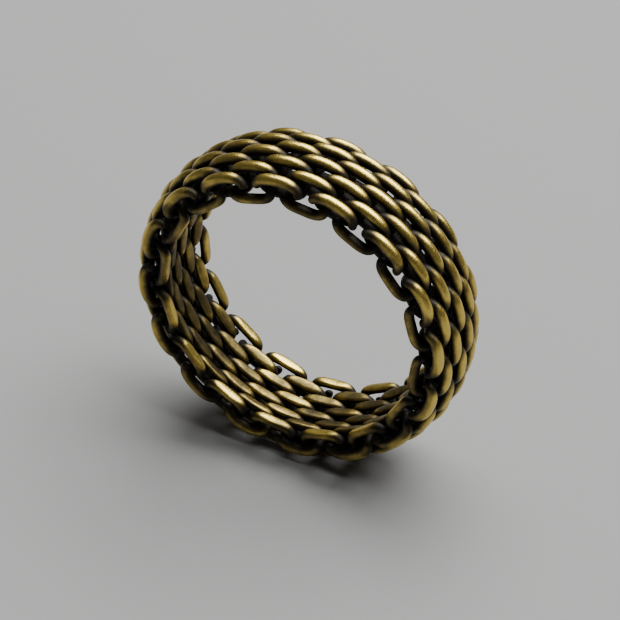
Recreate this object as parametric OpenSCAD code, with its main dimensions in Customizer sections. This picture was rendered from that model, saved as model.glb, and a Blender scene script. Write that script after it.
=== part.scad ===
// Woven chain-mesh finger ring.
// A closed band of flattened wire coils, hooked into each other side by side like a chain-link fence.
// The band is barrel shaped: its middle stands further from the ring's axis than its two edges.
// The ring's axis lies along Y, its front edge faces -Y, and the ring stands on its rim with +Z up.
// The origin is the centre of the finger hole, halfway between the two edges.

/* [Ring] */
// Radius of the finger hole, worn smooth on the innermost spans at both edges
finger_r = 8.45; // [8.4:0.01:8.5]
// How much further from the axis the worn surface lies in the middle of the band
finger_bow = 0.435; // [0.36:0.005:0.46]
// Number of coils round the ring, an even number
coil_count = 32; // [32:2:34]

/* [Coil] */
// Full turns of wire in one coil
coil_turns = 4; // [2:1:5]
// Distance along the ring's axis that one turn advances
turn_pitch = 1.48; // [1.44:0.01:1.6]
// How far the rounded noses of a coil reach past its hinge line
nose_reach = 0.50; // [0.46:0.01:0.54]
// Radius of the surface halfway through the wall, at the two edges
wall_r = 9.30; // [9.25:0.01:9.35]
// How much further from the axis that surface lies in the middle of the band
wall_bow = 0.68; // [0.5:0.01:0.75]
// From that surface to the centre line of a span, at the two edges
half_wall = 0.77; // [0.75:0.005:0.8]
// How much more that is in the middle of the band
half_wall_bow = 0.07; // [0.04:0.01:0.15]
// Degrees of turn by which each wire is cut short of its last nose
end_cut = 2; // [1:1:12]

/* [Wire] */
// Wire radius where it bends round a nose
nose_wire_r = 0.26; // [0.24:0.005:0.265]
// Wire radius in the middle of a span, where the wire is worked fuller
span_wire_r = 0.37; // [0.3:0.005:0.375]

/* [Hidden] */
// Flat sides of the wire's cross-section
wire_sides = 7;
// Degrees of turn between two rings of the swept wire
ring_step = 30;
// Degrees over which the wire steps from one row to the next at a nose
nose_step = 12;
// Share of that step which the cut ends take, as the edges are pressed flat
end_ease = 0.5;
// 2 would make a coil's outline an ellipse; more gives it fuller shoulders
squareness = 2.6;
// How sharply the fuller middle of a span tapers towards its noses
swell_power = 4;
// Half the length of the middle stretch of the finger hole that is bowed
bowed_half = 2.22;

coil_angle = 360 / coil_count;
coil_length = coil_turns * turn_pitch;
row_pitch = turn_pitch / 2;

// Two-digit names, so that the coils sort in their order round the ring
function coil_name(i) = str("coil_", i < 10 ? "0" : "", i);

function tanh(x) = (exp(2 * x) - 1) / (exp(2 * x) + 1);

function squared(wave) = sign(wave) * pow(abs(wave), 2 / squareness);

// Way along the ring's axis after `turn` degrees: almost level on the spans, quick at the noses
function advance(turn) =
    let (nose = round(turn / 180), past = turn - 180 * nose)
    row_pitch * nose + row_pitch / 2 * tanh(past / nose_step) / tanh(90 / nose_step);

// The same with its two cut ends pressed towards the first and the last row
function depth(turn) =
    let (y = advance(turn), first = row_pitch / 2, last = coil_length - row_pitch / 2)
    turn < 90 ? first + end_ease * (y - first)
    : turn > 360 * coil_turns - 90 ? last + end_ease * (y - last)
    : y;

// The barrel shape: 0 at the two edges of the band and 1 in its middle
function bow(y) = 1 - pow(2 * y / coil_length - 1, 2);

// Centre line of the coil at the top of the ring: x to the right, y along the ring's axis, z outward
function wire_point(turn, start) =
    let (
        y = depth(turn),
        middle = wall_r + wall_bow * bow(y),
        half = half_wall + half_wall_bow * bow(y),
        reach = coil_angle / 2 + nose_reach / middle * 180 / PI,
        angle = reach * squared(cos(start + turn)),
        r = middle + half * squared(sin(start + turn))
    )
    [r * sin(angle), y - coil_length / 2, r * cos(angle)];

function wire_r(turn) =
    nose_wire_r + (span_wire_r - nose_wire_r) * pow(abs(sin(turn)), swell_power);

function unit(v) = v / norm(v);

// One ring of points round the wire at `turn`
function wire_ring(turn, start) =
    let (
        along = unit(wire_point(turn + 2, start) - wire_point(turn - 2, start)),
        across = unit(cross(along, [0, 1, 0])),
        third = cross(across, along),
        r = wire_r(turn)
    )
    [for (k = [0 : wire_sides - 1])
        let (a = 360 * k / wire_sides)
        wire_point(turn, start) + r * (cos(a) * across + sin(a) * third)];

// Flattened left-hand coil; `start` is 0 for a first nose on the right and 180 on the left
module wire_coil(start) {
    turns = [
        end_cut,
        for (t = [ring_step : ring_step : 360 * coil_turns - ring_step]) t,
        360 * coil_turns - end_cut
    ];
    last = len(turns) - 1;
    n = wire_sides;
    points = [for (t = turns) each wire_ring(t, start)];
    sides = [
        for (j = [0 : last - 1])
            for (k = [0 : n - 1])
                let (m = (k + 1) % n)
                each [
                    [j * n + k, j * n + m, (j + 1) * n + m],
                    [j * n + k, (j + 1) * n + m, (j + 1) * n + k]
                ]
    ];
    front_end = [for (k = [n - 1 : -1 : 0]) k];
    back_end = [for (k = [0 : n - 1]) last * n + k];
    polyhedron(points, concat(sides, [front_end, back_end]), convexity = 12);
}

// Hole for the finger, which leaves a smooth worn flat on each inner span
module finger_hole() {
    end = coil_length / 2 + 1;
    outline = [
        [0, -end],
        [finger_r, -end],
        for (s = [-1 : 0.25 : 1])
            [finger_r + finger_bow * (1 - pow(abs(s), 3)), s * bowed_half],
        [finger_r, end],
        [0, end]
    ];
    rotate([90, 0, 0]) rotate_extrude($fn = 96) polygon(outline);
}

// Coil number i, counted clockwise as seen from the front; coils alternate between the two starts
module coil(i) {
    color([0.55, 0.43, 0.20])
        difference() {
            rotate([0, (i - 1.5) * coil_angle, 0]) wire_coil(i % 2 == 1 ? 0 : 180);
            finger_hole();
        }
}

for (i = [1 : coil_count])
    coil(i);
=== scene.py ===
import math

import bpy
import numpy as np
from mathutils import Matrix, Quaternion, Vector


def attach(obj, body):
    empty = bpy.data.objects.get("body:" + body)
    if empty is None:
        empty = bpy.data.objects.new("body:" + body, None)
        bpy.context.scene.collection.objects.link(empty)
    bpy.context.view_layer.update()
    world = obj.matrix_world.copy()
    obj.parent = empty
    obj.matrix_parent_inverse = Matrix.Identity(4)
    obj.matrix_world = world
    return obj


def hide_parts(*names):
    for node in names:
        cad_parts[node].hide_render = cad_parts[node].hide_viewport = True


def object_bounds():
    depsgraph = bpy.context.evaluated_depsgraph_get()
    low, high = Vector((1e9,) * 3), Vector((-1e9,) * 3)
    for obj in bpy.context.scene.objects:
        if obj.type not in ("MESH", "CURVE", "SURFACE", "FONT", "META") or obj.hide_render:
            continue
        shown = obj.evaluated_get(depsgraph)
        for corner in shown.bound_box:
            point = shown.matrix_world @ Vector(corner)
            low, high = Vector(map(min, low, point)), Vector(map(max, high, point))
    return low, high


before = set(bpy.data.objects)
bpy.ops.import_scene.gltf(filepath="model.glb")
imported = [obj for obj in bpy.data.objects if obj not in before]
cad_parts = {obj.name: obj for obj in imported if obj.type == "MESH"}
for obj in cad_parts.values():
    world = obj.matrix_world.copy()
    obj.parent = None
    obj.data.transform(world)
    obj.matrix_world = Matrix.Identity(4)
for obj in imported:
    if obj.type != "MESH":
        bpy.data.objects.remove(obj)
cad_low, cad_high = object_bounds()

MM = 0.001

# The ring, in millimetres and degrees. The names and sizes are its CAD model's, except that the wire is
# a little fuller towards its bends, where the CAD model's coarse facets need more room.
FINGER_R = 8.45
FINGER_BOW = 0.435
BOWED_HALF = 2.22
COIL_COUNT = 32
COIL_TURNS = 4
TURN_PITCH = 1.48
NOSE_REACH = 0.50
WALL_R = 9.30
WALL_BOW = 0.68
HALF_WALL = 0.77
HALF_WALL_BOW = 0.07
SQUARENESS = 2.6
END_CUT = 2
NOSE_WIRE_R = 0.285
SPAN_WIRE_R = 0.37
NOSE_STEP = 12
END_EASE = 0.5
SWELL_POWER = 2

COIL_ANGLE = 360 / COIL_COUNT
COIL_LENGTH = COIL_TURNS * TURN_PITCH
ROW_PITCH = TURN_PITCH / 2

# How softly the worn flats inside the finger hole run out into the round wire
FLAT_SOFTNESS = 0.09

# Length over which the cut ends of the wire are rounded off
END_ROUND = 0.18

# How far the wire drifts from its ideal line, so that no two spans sit quite alike
DRIFT = 0.012

# Wear, from 0 for dark patina to 1 for bare brass: at the surface, and the depth by which it fades
OPEN_WEAR = 1.05
WEAR_DEPTH = 0.28
WEAR_DRIFT = 0.10
# Depth added at the front and back edges of the band, as painted shade that darkens them
EDGE_PAINTED_SHADE = 0.14
# Share of the wear inside the band, in its middle rows and in its two edge rows
INNER_WEAR = 0.72
INNER_EDGE_WEAR = 0.88
# Share taken off again on the flats as painted shade, and the height above them over which their rims
# brighten as a painted highlight
FLAT_PAINTED_SHADE = 0.22
RIM_HIGHLIGHT_START = 0.02
RIM_HIGHLIGHT_WIDTH = 0.05
# Share of the wear at a cut end, and the degrees of turn by which one whole share is added to it
END_WEAR = 0.45
END_WEAR_TURN = 70

# Fineness of the swept wire: sides round it, and degrees of turn between its rings
WIRE_SIDES = 28
RING_STEP = 5


# ---------------------------------------------------------------- camera

def make_camera():
    azimuth, elevation, roll = math.radians(26.06), math.radians(38.38), math.radians(1.74)
    target = Vector((0.41, -0.36, -0.64)) * MM
    distance = 176.1 * MM
    back = Vector((
        math.sin(azimuth) * math.cos(elevation),
        -math.cos(azimuth) * math.cos(elevation),
        math.sin(elevation),
    ))
    data = bpy.data.cameras.new("camera")
    data.sensor_width = 36
    data.lens = 163.9
    data.clip_start = 0.01
    data.clip_end = 10
    camera = bpy.data.objects.new("camera", data)
    camera.rotation_mode = "QUATERNION"
    camera.location = target + back * distance
    camera.rotation_quaternion = (-back).to_track_quat("-Z", "Y") @ Quaternion((0, 0, 1), roll)
    bpy.context.scene.collection.objects.link(camera)
    bpy.context.scene.camera = camera


# ---------------------------------------------------------------- materials

def ramp(nodes, stops, colours=True):
    """A colour ramp with the given (position, value) stops; a value is a grey level or an RGB colour."""
    node = nodes.new("ShaderNodeValToRGB")
    elements = node.color_ramp.elements
    while len(elements) < len(stops):
        elements.new(0.5)
    for element, (position, value) in zip(elements, stops):
        element.position = position
        element.color = (*value, 1) if colours else (value, value, value, 1)
    return node


def noise(nodes, links, coords, scale, detail=4, roughness=0.55):
    node = nodes.new("ShaderNodeTexNoise")
    node.inputs["Scale"].default_value = scale
    node.inputs["Detail"].default_value = detail
    node.inputs["Roughness"].default_value = roughness
    links.new(coords, node.inputs["Vector"])
    return node


def arithmetic(nodes, links, operation, a, b, clamp=False):
    node = nodes.new("ShaderNodeMath")
    node.operation = operation
    node.use_clamp = clamp
    for socket, value in zip(node.inputs, (a, b)):
        if isinstance(value, (int, float)):
            socket.default_value = value
        else:
            links.new(value, socket)
    return node.outputs[0]


def antique_brass():
    """Brass with a dark chemical patina, worn off wherever the wire is touched. The attribute that drives
    it also carries painted shade at the band's edges and painted highlights on the rims of the inner
    flats.
    """
    material = bpy.data.materials.new("antique_brass")
    material.use_nodes = True
    nodes, links = material.node_tree.nodes, material.node_tree.links
    shader = nodes["Principled BSDF"]
    coords = nodes.new("ShaderNodeTexCoord").outputs["Object"]

    wear_and_painted_light = nodes.new("ShaderNodeAttribute")
    wear_and_painted_light.attribute_name = "wear_and_painted_light"
    blotches = noise(nodes, links, coords, 900, 5, 0.6)
    cloud = noise(nodes, links, coords, 170, 3, 0.5)
    grain = noise(nodes, links, coords, 7000, 3, 0.6)

    # bare brass where the attribute is strong (worn brass, with painted shade and painted highlights
    # mixed in), broken up by blotches of patina that stay on
    shifted = arithmetic(nodes, links, "SUBTRACT", blotches.outputs["Fac"], 0.5)
    broken = arithmetic(nodes, links, "MULTIPLY_ADD", shifted, 0.80)
    links.new(wear_and_painted_light.outputs["Fac"], broken.node.inputs[2])
    tone = arithmetic(nodes, links, "SUBTRACT", cloud.outputs["Fac"], 0.5)
    bare = arithmetic(nodes, links, "MULTIPLY_ADD", tone, 0.5)
    links.new(broken, bare.node.inputs[2])

    colour = ramp(nodes, [
        (0.00, (0.006, 0.0045, 0.002)),
        (0.35, (0.028, 0.022, 0.010)),
        (0.60, (0.152, 0.114, 0.040)),
        (0.80, (0.430, 0.318, 0.072)),
        (1.00, (0.680, 0.505, 0.115)),
    ])
    links.new(bare, colour.inputs["Fac"])
    links.new(colour.outputs["Color"], shader.inputs["Base Color"])

    metal = ramp(nodes, [(0.0, 0.55), (0.5, 0.95), (1.0, 1.0)], colours=False)
    links.new(bare, metal.inputs["Fac"])
    links.new(metal.outputs["Color"], shader.inputs["Metallic"])

    polish = ramp(nodes, [(0.0, 0.60), (0.5, 0.42), (1.0, 0.30)], colours=False)
    links.new(bare, polish.inputs["Fac"])
    fine = arithmetic(nodes, links, "SUBTRACT", grain.outputs["Fac"], 0.5)
    rough = arithmetic(nodes, links, "MULTIPLY_ADD", fine, 0.25)
    links.new(polish.outputs["Color"], rough.node.inputs[2])
    links.new(rough, shader.inputs["Roughness"])

    # pits and drawing marks in the surface
    height = arithmetic(nodes, links, "MULTIPLY_ADD", blotches.outputs["Fac"], 0.7)
    links.new(grain.outputs["Fac"], height.node.inputs[2])
    bump = nodes.new("ShaderNodeBump")
    bump.inputs["Strength"].default_value = 0.45
    bump.inputs["Distance"].default_value = 0.03 * MM
    links.new(height, bump.inputs["Height"])
    links.new(bump.outputs["Normal"], shader.inputs["Normal"])
    return material


def floor_material():
    material = bpy.data.materials.new("pale_floor")
    material.use_nodes = True
    nodes, links = material.node_tree.nodes, material.node_tree.links
    shader = nodes["Principled BSDF"]
    shader.inputs["Base Color"].default_value = (0.19, 0.19, 0.188, 1)
    shader.inputs["Roughness"].default_value = 0.9
    return material


# ---------------------------------------------------------------- the coils

def advance(turn):
    """Way along the ring's axis at a turn in degrees: almost level on the spans, quick at the noses."""
    nose = np.round(turn / 180)
    past = turn - 180 * nose
    return ROW_PITCH * nose + ROW_PITCH / 2 * np.tanh(past / NOSE_STEP) / math.tanh(90 / NOSE_STEP)


def depth(turn):
    """The same with the two cut ends pressed towards the first and the last row."""
    y = advance(turn)
    first, last = ROW_PITCH / 2, COIL_LENGTH - ROW_PITCH / 2
    y = np.where(turn < 90, first + END_EASE * (y - first), y)
    return np.where(turn > 360 * COIL_TURNS - 90, last + END_EASE * (y - last), y)


def bow(y):
    """The band's barrel shape: 0 at its edges and 1 in its middle, for y measured from the front edge."""
    return 1 - np.clip(2 * y / COIL_LENGTH - 1, -1, 1) ** 2


def squared(wave):
    """A sine or cosine with fuller shoulders, because the coils are flattened."""
    return np.sign(wave) * np.abs(wave) ** (2 / SQUARENESS)


def slow_wave(rng, turn, size):
    """A small smooth drift along the wire, so that no two spans sit quite alike."""
    total = np.zeros_like(turn)
    for period in (500, 290, 170):
        total += np.sin(np.radians(360 * turn / period + rng.uniform(0, 360)))
    return size * total / 3


def centre_line(turn, start):
    """Points of a coil at the top of the ring: x to the right, y along the ring's axis, z outward."""
    y = depth(turn)
    middle = WALL_R + WALL_BOW * bow(y)
    half = HALF_WALL + HALF_WALL_BOW * bow(y)
    reach = math.radians(COIL_ANGLE / 2) + NOSE_REACH / middle
    angle = reach * squared(np.cos(np.radians(start + turn)))
    r = middle + half * squared(np.sin(np.radians(start + turn)))
    return np.stack([r * np.sin(angle), y - COIL_LENGTH / 2, r * np.cos(angle)], axis=1)


def unit(v):
    return v / np.linalg.norm(v, axis=1, keepdims=True)


def wire_sections(turn, start, rng):
    """Centre and wire radius of each ring of the swept wire, and the ring's two cross directions."""
    centre = centre_line(turn, start)
    centre[:, 1] += slow_wave(rng, turn, DRIFT)
    centre[:, 2] += slow_wave(rng, turn, DRIFT)
    along = unit(centre_line(turn + 2, start) - centre_line(turn - 2, start))
    across = unit(np.cross(along, [0, 1, 0]))
    third = np.cross(across, along)

    swell = np.abs(np.sin(np.radians(turn))) ** SWELL_POWER
    radius = NOSE_WIRE_R + (SPAN_WIRE_R - NOSE_WIRE_R) * swell
    from_first = np.linalg.norm(centre - centre[0], axis=1)
    from_last = np.linalg.norm(centre - centre[-1], axis=1)
    blunt = 1 - np.clip(np.minimum(from_first, from_last) / END_ROUND, 0, 1)
    radius *= np.sqrt(1 - 0.8 * blunt ** 2)
    return centre, radius, across, third


def hole_radius(y):
    """Radius of the worn surface inside the finger hole, for y measured from the middle of the band."""
    return FINGER_R + FINGER_BOW * (1 - np.minimum(np.abs(y) / BOWED_HALF, 1) ** 3)


def press_flats(world):
    """Push the wire out of the finger hole, which leaves a softly edged flat on each inner span."""
    hole_r = hole_radius(world[..., 1])
    reach = np.hypot(world[..., 0], world[..., 2])
    worn = hole_r + FLAT_SOFTNESS * np.log1p(np.exp((reach - hole_r) / FLAT_SOFTNESS))
    pushed = np.where(reach < hole_r + 5 * FLAT_SOFTNESS, worn / reach, 1)
    world[..., 0] *= pushed
    world[..., 2] *= pushed


def rubbed_and_painted_light(world):
    """Wear of each point, with painted light: high near the band's outside, inside and edges, and none in
    its hollows; painted shade holds the band's edges back and a painted highlight brightens the rims of
    the inner flats.
    """
    y = world[..., 1]
    reach = np.hypot(world[..., 0], world[..., 2])
    rise = bow(y + COIL_LENGTH / 2)
    middle = WALL_R + WALL_BOW * rise
    half = HALF_WALL + HALF_WALL_BOW * rise

    below = middle + half + SPAN_WIRE_R - reach
    above = reach - hole_radius(y)
    behind = COIL_LENGTH / 2 - TURN_PITCH / 4 + SPAN_WIRE_R - np.abs(y)
    # the band's edges are capped here by painted shade, which keeps them darker
    depth_with_edge_shade = np.minimum(np.minimum(below, above), np.maximum(behind, 0) + EDGE_PAINTED_SHADE)
    wear_and_painted_light = OPEN_WEAR * np.exp(-(np.clip(depth_with_edge_shade, 0, None) / WEAR_DEPTH) ** 1.5)

    # inside the band the two edge rows are worn most, and the other flats are painted darker than their
    # rims: painted shade on the flats and a painted highlight on the rims
    painted_flat_shade = 1 - np.clip((above - RIM_HIGHLIGHT_START) / RIM_HIGHLIGHT_WIDTH, 0, 1)
    inside = np.where(np.abs(y) < BOWED_HALF, INNER_WEAR - FLAT_PAINTED_SHADE * painted_flat_shade, INNER_EDGE_WEAR)
    return wear_and_painted_light * np.where(reach < middle, inside, 1.0)


def tube_faces(rings):
    """Faces of a tube with this many rings of WIRE_SIDES points, closed at both ends."""
    n = WIRE_SIDES
    faces = []
    for j in range(rings - 1):
        for k in range(n):
            m = (k + 1) % n
            faces.append((j * n + k, j * n + m, (j + 1) * n + m, (j + 1) * n + k))
    faces.append(tuple(range(n - 1, -1, -1)))
    faces.append(tuple((rings - 1) * n + k for k in range(n)))
    return faces


def make_coil(i, material):
    """Coil number i, counted clockwise as seen from the front."""
    rng = np.random.default_rng(i)
    start = 0 if i % 2 else 180
    last_turn = 360 * COIL_TURNS - END_CUT
    middle_turns = np.arange(RING_STEP, last_turn - RING_STEP / 2, RING_STEP)
    turn = np.concatenate([[END_CUT, END_CUT + 1], middle_turns, [last_turn - 1, last_turn]])
    centre, radius, across, third = wire_sections(turn, start, rng)

    a = np.radians(np.arange(WIRE_SIDES) * 360 / WIRE_SIDES)[None, :, None]
    normals = np.cos(a) * across[:, None, :] + np.sin(a) * third[:, None, :]
    points = centre[:, None, :] + radius[:, None, None] * normals

    # turn the coil to its place round the ring; across and outward become X and Z
    place = math.radians((i - 1.5) * COIL_ANGLE)
    c, s = math.cos(place), math.sin(place)
    x, y, z = points[..., 0], points[..., 1], points[..., 2]
    world = np.stack([x * c + z * s, y, -x * s + z * c], axis=2)
    press_flats(world)

    # the wire is drawn darker towards its cut ends
    to_end = np.minimum(turn - END_CUT, last_turn - turn)
    wear_and_painted_light = rubbed_and_painted_light(world) * np.clip(END_WEAR + to_end / END_WEAR_TURN, 0, 1)[:, None]
    wear_and_painted_light += slow_wave(rng, turn, WEAR_DRIFT)[:, None]

    name = f"coil_{i:02d}"
    mesh = bpy.data.meshes.new(name + "_wire")
    mesh.from_pydata((world.reshape(-1, 3) * MM).tolist(), [], tube_faces(len(turn)))
    mesh.update()
    mesh.shade_smooth()
    # this attribute carries the worn patina together with painted shade and painted highlights
    attribute = mesh.attributes.new("wear_and_painted_light", "FLOAT", "POINT")
    attribute.data.foreach_set("value", wear_and_painted_light.reshape(-1).astype(np.float32))
    mesh.set_sharp_from_angle(angle=math.radians(50))
    mesh.materials.append(material)

    piece = bpy.data.objects.new(name + "_wire", mesh)
    bpy.context.scene.collection.objects.link(piece)
    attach(piece, name)
    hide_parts(name)
    return piece


# ---------------------------------------------------------------- floor and light

def make_floor(height):
    size = 2.0
    mesh = bpy.data.meshes.new("floor")
    corners = [(-size, -size, height), (size, -size, height), (size, size, height), (-size, size, height)]
    mesh.from_pydata(corners, [], [(0, 1, 2, 3)])
    mesh.materials.append(floor_material())
    floor = bpy.data.objects.new("floor", mesh)
    bpy.context.scene.collection.objects.link(floor)


def area_light(name, place, target, width, height, power, colour=(1, 1, 1)):
    data = bpy.data.lights.new(name, "AREA")
    data.shape = "RECTANGLE"
    data.size = width
    data.size_y = height
    data.energy = power
    data.color = colour
    light = bpy.data.objects.new(name, data)
    light.location = place
    light.rotation_mode = "QUATERNION"
    light.rotation_quaternion = (Vector(target) - Vector(place)).to_track_quat("-Z", "Y")
    bpy.context.scene.collection.objects.link(light)


def make_light():
    area_light("overhead", (0.05, 0.16, 0.40), (0, 0, 0), 0.60, 0.42, 8.6)
    world = bpy.data.worlds.new("studio")
    world.use_nodes = True
    world.node_tree.nodes["Background"].inputs["Color"].default_value = (1, 1, 1, 1)
    world.node_tree.nodes["Background"].inputs["Strength"].default_value = 0.09
    bpy.context.scene.world = world


make_camera()
brass = antique_brass()
for number in range(1, COIL_COUNT + 1):
    make_coil(number, brass)
make_floor(cad_low.z)
make_light()
